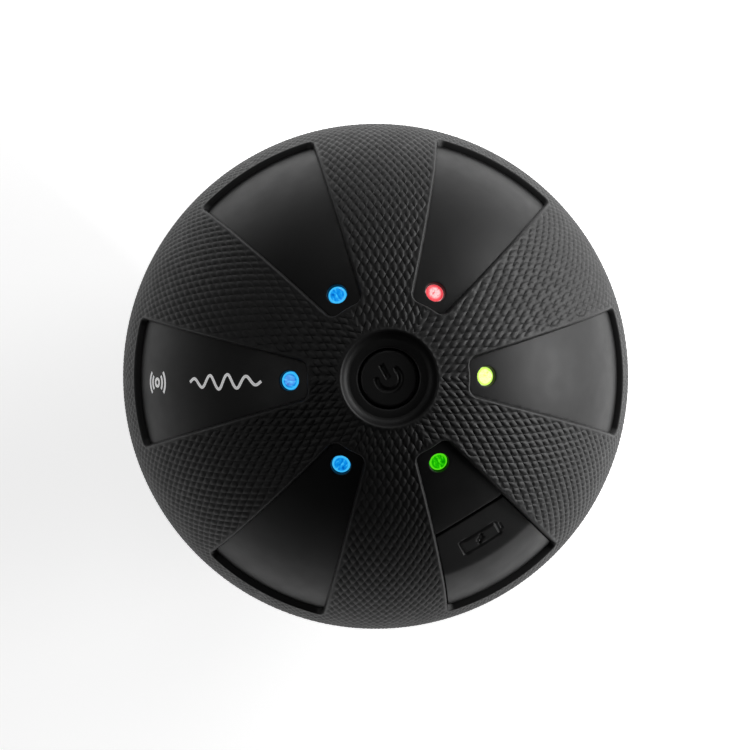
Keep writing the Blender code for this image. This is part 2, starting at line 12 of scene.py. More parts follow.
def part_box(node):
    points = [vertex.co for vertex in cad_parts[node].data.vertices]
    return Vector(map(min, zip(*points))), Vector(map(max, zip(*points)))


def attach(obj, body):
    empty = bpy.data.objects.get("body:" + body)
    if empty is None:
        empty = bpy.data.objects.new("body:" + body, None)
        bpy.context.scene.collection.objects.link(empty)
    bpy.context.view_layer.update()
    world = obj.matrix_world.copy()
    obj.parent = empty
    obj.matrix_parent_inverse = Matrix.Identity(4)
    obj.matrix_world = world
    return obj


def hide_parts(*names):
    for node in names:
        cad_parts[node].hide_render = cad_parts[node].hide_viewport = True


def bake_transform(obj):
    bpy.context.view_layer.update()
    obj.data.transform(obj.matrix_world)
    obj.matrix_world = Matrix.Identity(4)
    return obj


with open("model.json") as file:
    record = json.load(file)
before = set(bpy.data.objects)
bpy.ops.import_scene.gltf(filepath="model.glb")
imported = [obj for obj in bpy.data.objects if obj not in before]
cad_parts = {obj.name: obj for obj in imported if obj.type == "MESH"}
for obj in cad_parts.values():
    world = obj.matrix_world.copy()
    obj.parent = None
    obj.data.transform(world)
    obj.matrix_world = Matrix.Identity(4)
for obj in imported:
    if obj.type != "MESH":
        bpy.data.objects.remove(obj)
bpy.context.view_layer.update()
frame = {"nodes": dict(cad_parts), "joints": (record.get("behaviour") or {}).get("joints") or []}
nodes = frame["nodes"]

MM = 0.001
seal_lo, seal_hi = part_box("equator_seal")
CZ = (seal_lo.z + seal_hi.z) / 2 / MM     # height of the ball's centre above the floor
BALL_R, PAD_R = 39.5, 38.53
WIN_IN, WIN_OUT = math.radians(17.3), math.radians(69.2)
SIDE_TAN, SIDE_LEAN = 0.27357, 0.0193
CORNER = 0.95
RECESS_R, FLOOR_Z = 6.84, 37.4
LENS_POLAR = math.radians(21.2)
FACET_TILT, FACET_DIST = math.radians(36.7), 37.17
DOOR_EDGE = 23.15
PANELS = {270: "green", 330: "lime", 30: "red", 90: "blue", 150: "blue", 210: "blue"}
KNURL_V, KNURL_S, KNURL_H = 1.182, 2.364, 0.20
GRID = 5                  # mesh steps per knurl period


# ------------------------------------------------------------------ camera
def camera():
    roll, tilt_x, tilt_y = math.radians(1.27), math.radians(0.51), math.radians(2.80)
    m = (Matrix.Rotation(tilt_x, 3, "X") @ Matrix.Rotation(tilt_y, 3, "Y") @ Matrix.Rotation(roll + math.radians(30), 3, "Z"))
    back = m.transposed()
    cam = bpy.data.cameras.new("camera")
    cam.sensor_width, cam.lens = 36.0, 103.64
    cam.clip_start, cam.clip_end = 0.01, 20.0
    ob = bpy.data.objects.new("camera", cam)
    bpy.context.scene.collection.objects.link(ob)
    place = back @ Vector((0, 0, 8.6 * BALL_R * MM))
    aim = Matrix.Rotation(0.00057, 3, "X") @ Matrix.Rotation(0.00031, 3, "Y")
    ob.matrix_world = Matrix.Translation(Vector((0, 0, CZ * MM)) + place) @ (back @ aim).to_4x4()
    bpy.context.scene.camera = ob
    return back


photo_frame = camera()                    # columns: the photograph's right, up and towards-the-viewer directions


# ------------------------------------------------------------------ materials
def base_material(name, rough=0.5, metallic=0.0):
    m = bpy.data.materials.new(name)
    m.use_nodes = True
    b = m.node_tree.nodes["Principled BSDF"]
    b.inputs["Roughness"].default_value = rough
    b.inputs["Metallic"].default_value = metallic
    return m, m.node_tree, b


def coords(tree, scale=(1, 1, 1)):
    tc = tree.nodes.new("ShaderNodeTexCoord")
    mp = tree.nodes.new("ShaderNodeMapping")
    mp.inputs["Scale"].default_value = scale
    tree.links.new(tc.outputs["Object"], mp.inputs["Vector"])
    return mp.outputs["Vector"]


def noise(tree, vec, scale, detail=2.0, rough=0.5):
    n = tree.nodes.new("ShaderNodeTexNoise")
    n.inputs["Scale"].default_value = scale
    n.inputs["Detail"].default_value = detail
    n.inputs["Roughness"].default_value = rough
    tree.links.new(vec, n.inputs["Vector"])
    return n.outputs["Fac"]


def ramp(tree, fac, stops):
    r = tree.nodes.new("ShaderNodeValToRGB")
    r.color_ramp.elements[0].position, r.color_ramp.elements[0].color = stops[0][0], (*stops[0][1], 1)
    r.color_ramp.elements[1].position, r.color_ramp.elements[1].color = stops[-1][0], (*stops[-1][1], 1)
    for p, c in stops[1:-1]:
        e = r.color_ramp.elements.new(p)
        e.color = (*c, 1)
    tree.links.new(fac, r.inputs["Fac"])
    return r.outputs["Color"]


def span(tree, fac, lo, hi):
    r = tree.nodes.new("ShaderNodeMapRange")
    r.inputs["To Min"].default_value, r.inputs["To Max"].default_value = lo, hi
    tree.links.new(fac, r.inputs["Value"])
    return r.outputs["Result"]


def bump(tree, shader, height, strength, distance):
    b = tree.nodes.new("ShaderNodeBump")
    b.inputs["Strength"].default_value, b.inputs["Distance"].default_value = strength, distance
    tree.links.new(height, b.inputs["Height"])
    tree.links.new(b.outputs["Normal"], shader.inputs["Normal"])


def plastic(name, colour, rough, vary=0.25, grain=1800.0, depth=0.00001, rough_span=0.08, spec=0.5, coat=0.0):
    """Moulded plastic or rubber: uneven tone, uneven gloss and a fine moulded grain."""
    m, t, b = base_material(name, rough)
    v = coords(t)
    broad, fine = noise(t, v, 90.0, 4.0), noise(t, v, grain, 3.0, 0.6)
    lo = tuple(c * (1 - vary) for c in colour)
    hi = tuple(min(1, c * (1 + vary)) for c in colour)
    t.links.new(ramp(t, broad, [(0.3, lo), (0.7, hi)]), b.inputs["Base Color"])
    t.links.new(span(t, noise(t, v, 350.0, 3.0), rough - rough_span, rough + rough_span), b.inputs["Roughness"])
    bump(t, b, fine, 0.6, depth)
    b.inputs["Specular IOR Level"].default_value = spec
    b.inputs["Coat Weight"].default_value = coat
    return m


def metal(name, colour, rough, stretch=(1, 1, 1), vary=0.08):
    """Metal with a drawn or turned grain and slight staining."""
    m, t, b = base_material(name, rough, 1.0)
    v = coords(t, stretch)
    fine = noise(t, v, 1500.0, 3.0, 0.6)
    broad = noise(t, coords(t), 120.0, 3.0)
    t.links.new(ramp(t, broad, [(0.3, tuple(c * (1 - vary) for c in colour)), (0.7, tuple(min(1, c * (1 + vary)) for c in colour))]), b.inputs["Base Color"])
    t.links.new(span(t, fine, rough - 0.08, rough + 0.1), b.inputs["Roughness"])
    bump(t, b, fine, 0.35, 0.00001)
    return m


SKIN = plastic("grip_silicone_black", (0.0045, 0.0045, 0.0047), 0.56, vary=0.2, grain=5200.0, depth=0.000012, spec=0.50)
SATIN = plastic("satin_pad_black", (0.0032, 0.0032, 0.0034), 0.48, vary=0.15, grain=7000.0, depth=0.000005, spec=0.36)
BUTTON = plastic("button_black", (0.0045, 0.0045, 0.0047), 0.47, vary=0.15, grain=6500.0, depth=0.000006, spec=0.42)
DOOR = plastic("door_rubber_black", (0.0042, 0.0042, 0.0044), 0.48, vary=0.15, grain=6000.0, depth=0.000006, spec=0.42)
PADRUB = plastic("base_pad_rubber", (0.016, 0.016, 0.016), 0.7, vary=0.25, grain=2600.0, depth=0.00003, spec=0.35)
SEAL = plastic("seal_rubber", (0.03, 0.03, 0.03), 0.6)
INNER = plastic("housing_inside_black", (0.018, 0.018, 0.019), 0.5, vary=0.2, grain=2500.0, depth=0.00002)
PRINT_WITH_PAINTED_GLOW = plastic("pad_print_white_painted_glow", (0.90, 0.90, 0.91), 0.5, vary=0.04, grain=5000.0, depth=0.000004, rough_span=0.05)
DARKP = plastic("dark_plastic_part", (0.03, 0.03, 0.032), 0.5)
GREYP = plastic("grey_glass_filled_plastic", (0.20, 0.21, 0.22), 0.55, vary=0.12, grain=1400.0, depth=0.00003)
FERRITE = plastic("ferrite_magnet", (0.05, 0.05, 0.055), 0.75, vary=0.25, grain=1200.0, depth=0.00005)
REDW = plastic("red_lead_sleeve", (0.50, 0.015, 0.012), 0.4, vary=0.08)
BLACKW = plastic("black_lead_sleeve", (0.012, 0.012, 0.012), 0.4, vary=0.15)
WRAP = plastic("cell_sleeve_blue", (0.02, 0.12, 0.36), 0.35, vary=0.1, grain=600.0, depth=0.00002, coat=0.3)
# painted light: the white print is given a faint white glow that stands in for light falling on it from the front
PRINT_WITH_PAINTED_GLOW.node_tree.nodes["Principled BSDF"].inputs["Emission Color"].default_value = (1, 1, 1, 1)
PRINT_WITH_PAINTED_GLOW.node_tree.nodes["Principled BSDF"].inputs["Emission Strength"].default_value = 0.28
STEEL = metal("turned_steel", (0.58, 0.58, 0.59), 0.3, (1, 14, 14))
BRASS = metal("sintered_brass", (0.70, 0.52, 0.25), 0.42, vary=0.12)
COPPER = metal("wound_copper", (0.74, 0.36, 0.19), 0.35, (30, 1, 1), vary=0.15)


def board_material():
    """Solder-masked board: green mask over a faint copper maze, with a light weave."""
    m, t, b = base_material("circuit_board_green", 0.4)
    v = coords(t)
    brick = t.nodes.new("ShaderNodeTexBrick")
    brick.inputs["Scale"].default_value = 420.0
    brick.inputs["Color1"].default_value = (0.010, 0.105, 0.040, 1)
    brick.inputs["Color2"].default_value = (0.016, 0.150, 0.060, 1)
    brick.inputs["Mortar"].default_value = (0.006, 0.070, 0.028, 1)
    brick.inputs["Mortar Size"].default_value = 0.06
    t.links.new(v, brick.inputs["Vector"])
    t.links.new(brick.outputs["Color"], b.inputs["Base Color"])
    t.links.new(span(t, noise(t, v, 500.0, 3.0), 0.3, 0.5), b.inputs["Roughness"])
    bump(t, b, brick.outputs["Fac"], 0.4, 0.00003)
    b.inputs["Coat Weight"].default_value = 0.3
    return m


BOARD = board_material()


def lens_material(name, rim, mid, core, power, ring=(0.74, 0.84)):
    """A lit light-pipe face: hot core, coloured body, bright cut rim and fine radial streaks, all in the lens's own axes."""
    m, t, b = base_material(name, 0.16)
    tc = t.nodes.new("ShaderNodeTexCoord")
    sep = t.nodes.new("ShaderNodeSeparateXYZ")
    t.links.new(tc.outputs["Object"], sep.inputs["Vector"])
    flat = t.nodes.new("ShaderNodeCombineXYZ")
    t.links.new(sep.outputs["X"], flat.inputs["X"])
    t.links.new(sep.outputs["Y"], flat.inputs["Y"])
    length = t.nodes.new("ShaderNodeVectorMath")
    length.operation = "LENGTH"
    t.links.new(flat.outputs["Vector"], length.inputs[0])
    r = t.nodes.new("ShaderNodeMapRange")
    r.inputs["From Max"].default_value = 0.0013
    t.links.new(length.outputs["Value"], r.inputs["Value"])
    streak = noise(t, coords(t, (900, 2600, 1)), 1.0, 3.0, 0.65)
    body = ramp(t, streak, [(0.36, mid), (0.47, core), (0.53, core), (0.62, rim)])
    edge = ramp(t, r.outputs["Result"], [(0.0, (0, 0, 0)), (ring[0], (0, 0, 0)), (ring[1], (1, 1, 1)), (0.94, (1, 1, 1)), (1.0, (0.2, 0.2, 0.2))])
    mix = t.nodes.new("ShaderNodeMix")
    mix.data_type = "RGBA"
    t.links.new(edge, mix.inputs[0])
    t.links.new(body, mix.inputs[6])
    mix.inputs[7].default_value = (*rim, 1)
    colour = mix.outputs[2]
    t.links.new(colour, b.inputs["Emission Color"])
    b.inputs["Emission Strength"].default_value = power
    t.links.new(ramp(t, streak, [(0.2, mid), (0.8, rim)]), b.inputs["Base Color"])
    t.links.new(span(t, streak, 0.1, 0.25), b.inputs["Roughness"])
    bump(t, b, streak, 0.3, 0.00002)
    b.inputs["Coat Weight"].default_value = 0.6
    b.inputs["Coat Roughness"].default_value = 0.05
    return m


LENS = {
    "blue": lens_material("lens_lit_blue", (0.05, 0.54, 1.0), (0.0, 0.07, 0.42), (0.0, 0.26, 0.80), 0.95, (0.70, 0.80)),
    "green": lens_material("lens_lit_green", (0.10, 0.82, 0.01), (0.0, 0.20, 0.0), (0.0, 0.42, 0.0), 0.95),
    "lime": lens_material("lens_lit_lime", (0.62, 1.0, 0.12), (0.55, 1.0, 0.10), (0.84, 1.0, 0.52), 1.0),
    "red": lens_material("lens_lit_red", (0.80, 0.05, 0.07), (0.92, 0.30, 0.32), (1.0, 0.62, 0.62), 1.0, (0.50, 0.74)),
}


# ------------------------------------------------------------------ mesh tools (numpy)
def unit(p):
    return p / np.linalg.norm(p, axis=-1, keepdims=True)


def window_sdf(p):
    """Distance inside the nearest window's outline, in mm on the ball; negative on the skin. p: directions, upper half."""
    x, y, z = p[:, 0], p[:, 1], np.clip(p[:, 2], -1, 1)
    az = np.arctan2(y, x)
    mid = np.radians(30) + np.round((az - np.radians(30)) / np.radians(60)) * np.radians(60)
    a, st, theta = az - mid, np.hypot(x, y), np.arccos(z)
    lx, ly = st * np.cos(a), np.abs(st * np.sin(a))
    side = (lx * SIDE_TAN - z * SIDE_LEAN - ly) / math.sqrt(1 + SIDE_TAN ** 2 + SIDE_LEAN ** 2) * 39.0
    end = np.minimum(theta - WIN_IN, WIN_OUT - theta) * 39.0
    qs, qe = CORNER - side, CORNER - end
    rounded = CORNER - np.hypot(np.maximum(qs, 0), np.maximum(qe, 0))
    return np.where(np.maximum(qs, qe) < 0, np.minimum(side, end), rounded)


def clip(P, T, f, snap):
    """Cuts triangles where f changes sign and keeps the f >= 0 side. P holds every per-vertex value, linear across a cut."""
    f = np.where(np.abs(f) < snap, 0.0, f)
    inside = f >= 0
    count = inside[T].sum(1)
    keep = [tuple(t) for t in T[count == 3]]
    P = list(P)
    made = {}

    def cut(a, b):
        if f[a] == 0:
            return a
        key = (min(a, b), max(a, b))
        if key not in made:
            w = f[a] / (f[a] - f[b])
            made[key] = len(P)
            P.append(P[a] * (1 - w) + P[b] * w)
        return made[key]

    for tri in T[(count > 0) & (count < 3)]:
        ring = []
        for k in range(3):
            a, b = tri[k], tri[(k + 1) % 3]
            if inside[a]:
                ring.append(a)
                if not inside[b]:
                    ring.append(cut(a, b))
            elif inside[b]:
                ring.append(cut(b, a))
        ring = [v for i, v in enumerate(ring) if v != ring[i - 1]]
        for k in range(1, len(ring) - 1):
            if len({ring[0], ring[k], ring[k + 1]}) == 3:
                keep.append((ring[0], ring[k], ring[k + 1]))
    return compact(np.array(P), np.array(keep, np.int64))


def compact(P, T):
    used = np.unique(T)
    index = np.full(len(P), -1, np.int64)
    index[used] = np.arange(len(used))
    return P[used], index[T]


def merge(P, T, grain=0.002):
    key = np.round(P[:, :3] * 39.5 / grain).astype(np.int64)
    _, first, back = np.unique(key, axis=0, return_index=True, return_inverse=True)
    T = back.reshape(-1)[T]
    T = T[(T[:, 0] != T[:, 1]) & (T[:, 1] != T[:, 2]) & (T[:, 2] != T[:, 0])]
    return P[first], T


def border(T):
    """Directed edges that have no neighbour."""
    e = np.concatenate([T[:, [0, 1]], T[:, [1, 2]], T[:, [2, 0]]])
    n = int(T.max()) + 1
    code, rev = e[:, 0] * n + e[:, 1], e[:, 1] * n + e[:, 0]
    return e[~np.isin(code, rev)]


def outward(p, f):
    """Tangent direction in which f falls, at directions p."""
    up = np.where(np.abs(p[:, 2:3]) < 0.9, np.array([[0, 0, 1.0]]), np.array([[1.0, 0, 0]]))
    e1 = unit(np.cross(up, p))
    e2 = np.cross(p, e1)
    h = 2e-4
    g1 = f(unit(p + h * e1)) - f(unit(p - h * e1))
    g2 = f(unit(p + h * e2)) - f(unit(p - h * e2))
    return unit(-(g1[:, None] * e1 + g2[:, None] * e2))


def strip(points, faces, edges, rings):
    """Adds walls that hang from border edges: rings is a function from border vertex ids to a list of point rows."""
    ids = np.unique(edges)
    place = {int(v): i for i, v in enumerate(ids)}
    rows = rings(ids)
    base = len(points)
    points = np.concatenate([points] + rows)
    n = len(ids)
    levels = [ids] + [np.arange(n) + base + k * n for k in range(len(rows))]
    a = np.array([place[int(v)] for v in edges[:, 0]])
    b = np.array([place[int(v)] for v in edges[:, 1]])
    for k in range(len(rows)):
        hi, lo = levels[k], levels[k + 1]
        faces.append(np.stack([hi[b], hi[a], lo[a], lo[b]], 1))
    return points, levels[-1], (a, b)


def make(name, points, tris, quads=(), mat=None, sharp=38.0, flip=False, rest=True):
    """A mesh object from mm points about the ball's centre."""
    mesh = bpy.data.meshes.new(name)
    pts = np.asarray(points, float)
    quads = [q for q in quads if len(q)]
    tris = [t for t in tris if len(t)]
    T = np.concatenate(tris) if tris else np.zeros((0, 3), np.int64)
    Q = np.concatenate(quads) if quads else np.zeros((0, 4), np.int64)
    if flip:
        T, Q = T[:, ::-1], Q[:, ::-1]
    mesh.vertices.add(len(pts))
    mesh.vertices.foreach_set("co", ((pts + [0, 0, CZ]) * MM if rest else pts * MM).astype(np.float32).ravel())
    loops = np.concatenate([T.ravel(), Q.ravel()]).astype(np.int32)
    mesh.loops.add(len(loops))
    mesh.loops.foreach_set("vertex_index", loops)
    starts = np.concatenate([np.arange(len(T)) * 3, len(T) * 3 + np.arange(len(Q)) * 4]).astype(np.int32)
    mesh.polygons.add(len(starts))
    mesh.polygons.foreach_set("loop_start", starts)
    mesh.update(calc_edges=True)
    mesh.validate()
    mesh.shade_smooth()
    mesh.set_sharp_from_angle(angle=math.radians(sharp))
    ob = bpy.data.objects.new(name, mesh)
    bpy.context.scene.collection.objects.link(ob)
    if mat:
        mesh.materials.append(mat)
    return ob


def smoothstep(x, lo, hi):
    t = np.clip((x - lo) / (hi - lo), 0, 1)
    return t * t * (3 - 2 * t)


def fillet_rings(p, out, radius_at, r, bottom, steps=4, extra=()):
    """Rows of points rounding an edge at directions p and then falling straight to the bottom radius."""
    rows = []
    R = radius_at
    for k in range(1, steps + 1):
        a = math.radians(90 * k / steps)
        d = unit(p + out * (r * math.sin(a) / 39.0))
        rows.append(d * (R - r * (1 - math.cos(a)))[:, None])
    d = unit(p + out * (r / 39.0))
    for lower in list(extra) + [bottom]:
        rows.append(d * (np.full(len(p), float(lower)))[:, None])
    return rows


def wall_rings(p, out, top):
    """Rows for a window's wall: a small rounded lip, then a steep slope that meets the pad at the window's outline."""
    rows = []
    for step, drop in ((0.07, 0.01), (0.15, 0.05), (0.22, 0.14), (0.28, 0.27), (0.35, 0.48), (0.43, 0.74), (0.50, 1.02), (0.50, 1.8)):
        d = unit(p + out * (step / 39.0))
        rows.append(d * (top - drop)[:, None])
    return rows


# ------------------------------------------------------------------ knurled grip skins
def grip_skin():
    """Directions, lattice values and triangles of the upper skin's outside, with its windows and pole opening cut."""
    dv, ds = KNURL_V / GRID, KNURL_S / GRID
    rim = 0.50
    pole = math.asin((RECESS_R + 0.16) / BALL_R)
    s_lo = int(math.floor((BALL_R * pole - 1) / ds))
    s_hi = int(math.ceil((BALL_R * math.pi / 2 + 0.8) / ds))
    c_max = int(math.ceil((BALL_R * math.pi / 6 + 1.0) / dv))
    I, J = np.meshgrid(np.arange(-c_max, c_max + 1), np.arange(s_lo, s_hi + 1), indexing="ij")
    v, s = I * dv, J * ds
    theta = s / BALL_R
    phi = v / (BALL_R * np.sin(np.clip(theta, 0.02, None)))
    P = np.stack([np.sin(theta) * np.cos(phi), np.sin(theta) * np.sin(phi), np.cos(theta), s, v], -1)
    ok = np.abs(phi) < math.radians(36)
    ni, nj = I.shape
    vid = np.arange(ni * nj).reshape(ni, nj)
    a, b, c, d = vid[:-1, :-1], vid[1:, :-1], vid[1:, 1:], vid[:-1, 1:]
    i, j = I[:-1, :-1], J[:-1, :-1]
    phase = round(0.3 * GRID)             # keeps the sector joins clear of a groove
    anti = ((i + j + 1 - phase) % GRID == 0)
    main = ((i - j + phase) % GRID == 0)
    use_main = np.where(anti & ~main, False, np.where(main & ~anti, True, i >= 0))
    good = (ok[:-1, :-1] & ok[1:, :-1] & ok[1:, 1:] & ok[:-1, 1:])
    m1, m2 = good & use_main, good & ~use_main
    # seen from outside, the polar angle runs down and the azimuth runs right: (i, j) -> j is down
    T = np.concatenate([
        np.stack([a[m1], c[m1], b[m1]], 1), np.stack([a[m1], d[m1], c[m1]], 1),
        np.stack([a[m2], d[m2], b[m2]], 1), np.stack([b[m2], d[m2], c[m2]], 1)])
    P, T = compact(P.reshape(-1, 5), T)

    def seam(q):
        return (math.radians(30) - np.abs(np.arctan2(q[:, 1], q[:, 0]))) * np.hypot(q[:, 0], q[:, 1]) * BALL_R

    for f in (seam,
              lambda q: -window_sdf(unit(q[:, :3])) - rim,
              lambda q: (np.arccos(np.clip(unit(q[:, :3])[:, 2], -1, 1)) - pole) * BALL_R,
              lambda q: np.arcsin(np.clip(unit(q[:, :3])[:, 2], -1, 1)) * BALL_R - 0.3):
        P, T = clip(P, T, f(P), 0.16 * dv)
    P[:, :3] = unit(P[:, :3])
    # height from the lattice, before the sectors are joined
    u1 = P[:, 4] / KNURL_V + P[:, 3] / KNURL_S - phase / GRID
    u2 = P[:, 4] / KNURL_V - P[:, 3] / KNURL_S + phase / GRID
    e = np.minimum(1 - 2 * np.abs(u1 - np.floor(u1) - 0.5), 1 - 2 * np.abs(u2 - np.floor(u2) - 0.5))
    h = 1 - (1 - np.clip(e, 0, 1)) ** 3.2
    join = seam(P)
    h = 1 - (1 - h) * (0.65 + 0.35 * smoothstep(join, 0, 0.7))
    P = np.concatenate([P[:, :3], h[:, None]], 1)
    whole, tris = [], []
    for k in range(6):
        a = math.radians(60 * k)
        R = np.array([[math.cos(a), -math.sin(a), 0], [math.sin(a), math.cos(a), 0], [0, 0, 1]])
        tris.append(T + len(P) * k)
        whole.append(np.concatenate([P[:, :3] @ R.T, P[:, 3:]], 1))
    P, T = merge(np.concatenate(whole), np.concatenate(tris), 0.012)
    return P, T, rim, pole


skin_P, skin_T, skin_rim, skin_pole = grip_skin()


def build_skin(name, node, lower):
    p, h = skin_P[:, :3], skin_P[:, 3]
    to_win = -window_sdf(p) - skin_rim
    to_pole = (np.arccos(np.clip(p[:, 2], -1, 1)) - skin_pole) * BALL_R
    near = np.minimum(to_win, to_pole)
    fade = smoothstep(near, -0.05, 0.30)
    radius = BALL_R - KNURL_H * (1 - h) * fade - 0.05 * (1 - fade)
    points = p * radius[:, None]
    T = skin_T
    edges = border(T)
    mid = unit(p[edges].mean(1))
    w = np.abs(-window_sdf(mid) - skin_rim)
    q = np.abs(np.arccos(mid[:, 2]) - skin_pole) * BALL_R
    z = np.abs(np.arcsin(mid[:, 2]) * BALL_R - 0.3)
    kind = np.argmin(np.stack([w, q, z]), 0)
    faces = []
    f_win = lambda d: -window_sdf(d)
    points, _, _ = strip(points, faces, edges[kind == 0],
                         lambda ids: wall_rings(p[ids], outward(p[ids], f_win), radius[ids]))

    def pole_rings(ids):
        az = np.arctan2(p[ids, 1], p[ids, 0])
        r0 = np.hypot(points0[ids, 0], points0[ids, 1])
        z0 = points0[ids, 2]
        rows = []
        # a tight shoulder, the sloping wall of the button's recess, and a broad fillet that runs out onto its floor
        for k in range(1, 6):
            t = k / 5
            bx, bz = (1 - t) ** 2 * r0 + 2 * t * (1 - t) * 6.74 + t * t * 6.58, (1 - t) ** 2 * z0 + 2 * t * (1 - t) * 38.87 + t * t * 38.50
            rows.append(np.stack([bx * np.cos(az), bx * np.sin(az), bz], 1))
        for k in range(1, 9):
            t = k / 8
            r, zz = (1 - t) ** 2 * 6.52 + 2 * t * (1 - t) * 6.20 + t * t * 5.55, (1 - t) ** 2 * 38.30 + 2 * t * (1 - t) * 37.52 + t * t * 37.462
            rows.append(np.stack([r * np.cos(az), r * np.sin(az), np.full(len(ids), zz)], 1))
        rows.append(np.stack([5.55 * np.cos(az), 5.55 * np.sin(az), np.full(len(ids), 37.30)], 1))
        return rows

    points0 = points.copy()
    points, _, _ = strip(points, faces, edges[kind == 1], pole_rings)

    def equator_rings(ids):
        az = np.arctan2(p[ids, 1], p[ids, 0])
        rows = []
        for r_drop, zz in ((0.06, 0.20), (0.20, 0.15), (1.8, 0.15)):
            r = np.hypot(points0[ids, 0], points0[ids, 1]) - r_drop
            rows.append(np.stack([r * np.cos(az), r * np.sin(az), np.full(len(ids), zz)], 1))
        return rows

    points, _, _ = strip(points, faces, edges[kind == 2], equator_rings)
    if lower:
        points = points * [1, 1, -1]
    ob = make(name, points, [T], faces, SKIN, 52.0, flip=lower)
    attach(ob, "ball")
    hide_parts(node)
    return ob


build_skin("upper_grip_skin_knurled", "upper_grip_skin", False)
build_skin("lower_grip_skin_knurled", "lower_grip_skin", True)


# ------------------------------------------------------------------ patches on the ball: pads and the door
def grid_patch(theta0, theta1, half_w, step, azimuth, limits, snap=0.12):
    """Directions and triangles of a patch about an azimuth, kept where every limit is >= 0."""
    n_t, n_w = int(round((theta1 - theta0) * 38.5 / step)), int(round(half_w / step))
    J, I = np.meshgrid(np.arange(n_t + 1), np.arange(-n_w, n_w + 1), indexing="ij")
    theta = theta0 + J * step / 38.5
    phi = I * step / (38.5 * np.sin(theta)) + azimuth
    P = np.stack([np.sin(theta) * np.cos(phi), np.sin(theta) * np.sin(phi), np.cos(theta)], -1)
    vid = np.arange(P.shape[0] * P.shape[1]).reshape(P.shape[:2])
    a, b, c, d = vid[:-1, :-1].ravel(), vid[1:, :-1].ravel(), vid[1:, 1:].ravel(), vid[:-1, 1:].ravel()
    T = np.concatenate([np.stack([a, b, c], 1), np.stack([a, c, d], 1)])
    P = P.reshape(-1, 3)
    for f in limits:
        P, T = clip(P, T, f(unit(P)), snap * step)
        P = unit(P)
    return P, T


def build_pad(letter, azimuth, upper=True, has_lens=True, cut_at=None):
    a = math.radians(azimuth)
    gap, r = -0.06, 0.05
    axis = np.array([math.sin(LENS_POLAR) * math.cos(a), math.sin(LENS_POLAR) * math.sin(a), math.cos(LENS_POLAR)])
    hole, rh = 1.44, 0.12
    f_out = lambda q: window_sdf(q) - gap - r
    f_hole = lambda q: np.arccos(np.clip(q @ axis, -1, 1)) * PAD_R - hole - rh
    f_cut = lambda q: (cut_at - 0.06 - r) - (q[:, 0] * math.cos(a) + q[:, 1] * math.sin(a)) * PAD_R if cut_at else np.full(len(q), 9.0)
    limits = [f_out] + ([f_hole] if has_lens else []) + ([f_cut] if cut_at else [])
    t1 = WIN_OUT + 0.02 if not cut_at else math.radians(41)
    P, T = grid_patch(WIN_IN - 0.01, t1, 11.0, 0.45, a, limits)
    points = P * PAD_R
    edges = border(T)
    mid = unit(P[edges].mean(1))
    d = [np.abs(f_out(mid)), np.abs(f_hole(mid)) if has_lens else np.full(len(mid), 9.0), np.abs(f_cut(mid)) if cut_at else np.full(len(mid), 9.0)]
    kind = np.argmin(np.stack(d), 0)
    faces = []
    R0 = np.full(len(P), PAD_R)
    if (kind == 0).any():
        points, _, _ = strip(points, faces, edges[kind == 0], lambda ids: fillet_rings(P[ids], outward(P[ids], f_out), R0[ids], r, 37.2))
    if has_lens:
        points, _, _ = strip(points, faces, edges[kind == 1], lambda ids: fillet_rings(P[ids], outward(P[ids], f_hole), R0[ids], rh, 36.6))
    if cut_at:
        points, _, _ = strip(points, faces, edges[kind == 2], lambda ids: fillet_rings(P[ids], outward(P[ids], f_cut), R0[ids], r * 0.6, 35.2))
    if not upper:
        points = points * [1, 1, -1]
    ob = make(("upper" if upper else "lower") + "_pad_" + letter, points, [T], faces, SATIN, 40.0, flip=not upper)
    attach(ob, "ball")
    return ob


for letter, az in zip("abcdef", PANELS):
    build_pad(letter, az, True, True, DOOR_EDGE - 0.2 if az == 270 else None)
    build_pad(letter, az, False, False)

# ------------------------------------------------------------------ charging door
def seg_dist(x, y, x0, y0, x1, y1):
    dx, dy = x1 - x0, y1 - y0
    t = np.clip(((x - x0) * dx + (y - y0) * dy) / (dx * dx + dy * dy), 0, 1)
    return np.hypot(x - x0 - t * dx, y - y0 - t * dy)


def door_icon(u, w):
    """Stroke distance of a plain battery-and-bolt sign. u runs across the door, w up it, in mm."""
    bx, by = np.abs(u + 0.15) - 2.35, np.abs(w) - 0.95
    body = np.abs(np.hypot(np.maximum(bx, 0), np.maximum(by, 0)) + np.minimum(np.maximum(bx, by), 0) - 0.12)
    cap = seg_dist(u, w, 2.75, -0.42, 2.75, 0.42)
    bolt = np.minimum(np.minimum(seg_dist(u, w, 0.25, 0.62, -0.55, -0.06), seg_dist(u, w, -0.55, -0.06, 0.25, 0.06)),
                      seg_dist(u, w, 0.25, 0.06, -0.5, -0.62))
    return np.minimum(np.minimum(body, cap), bolt)


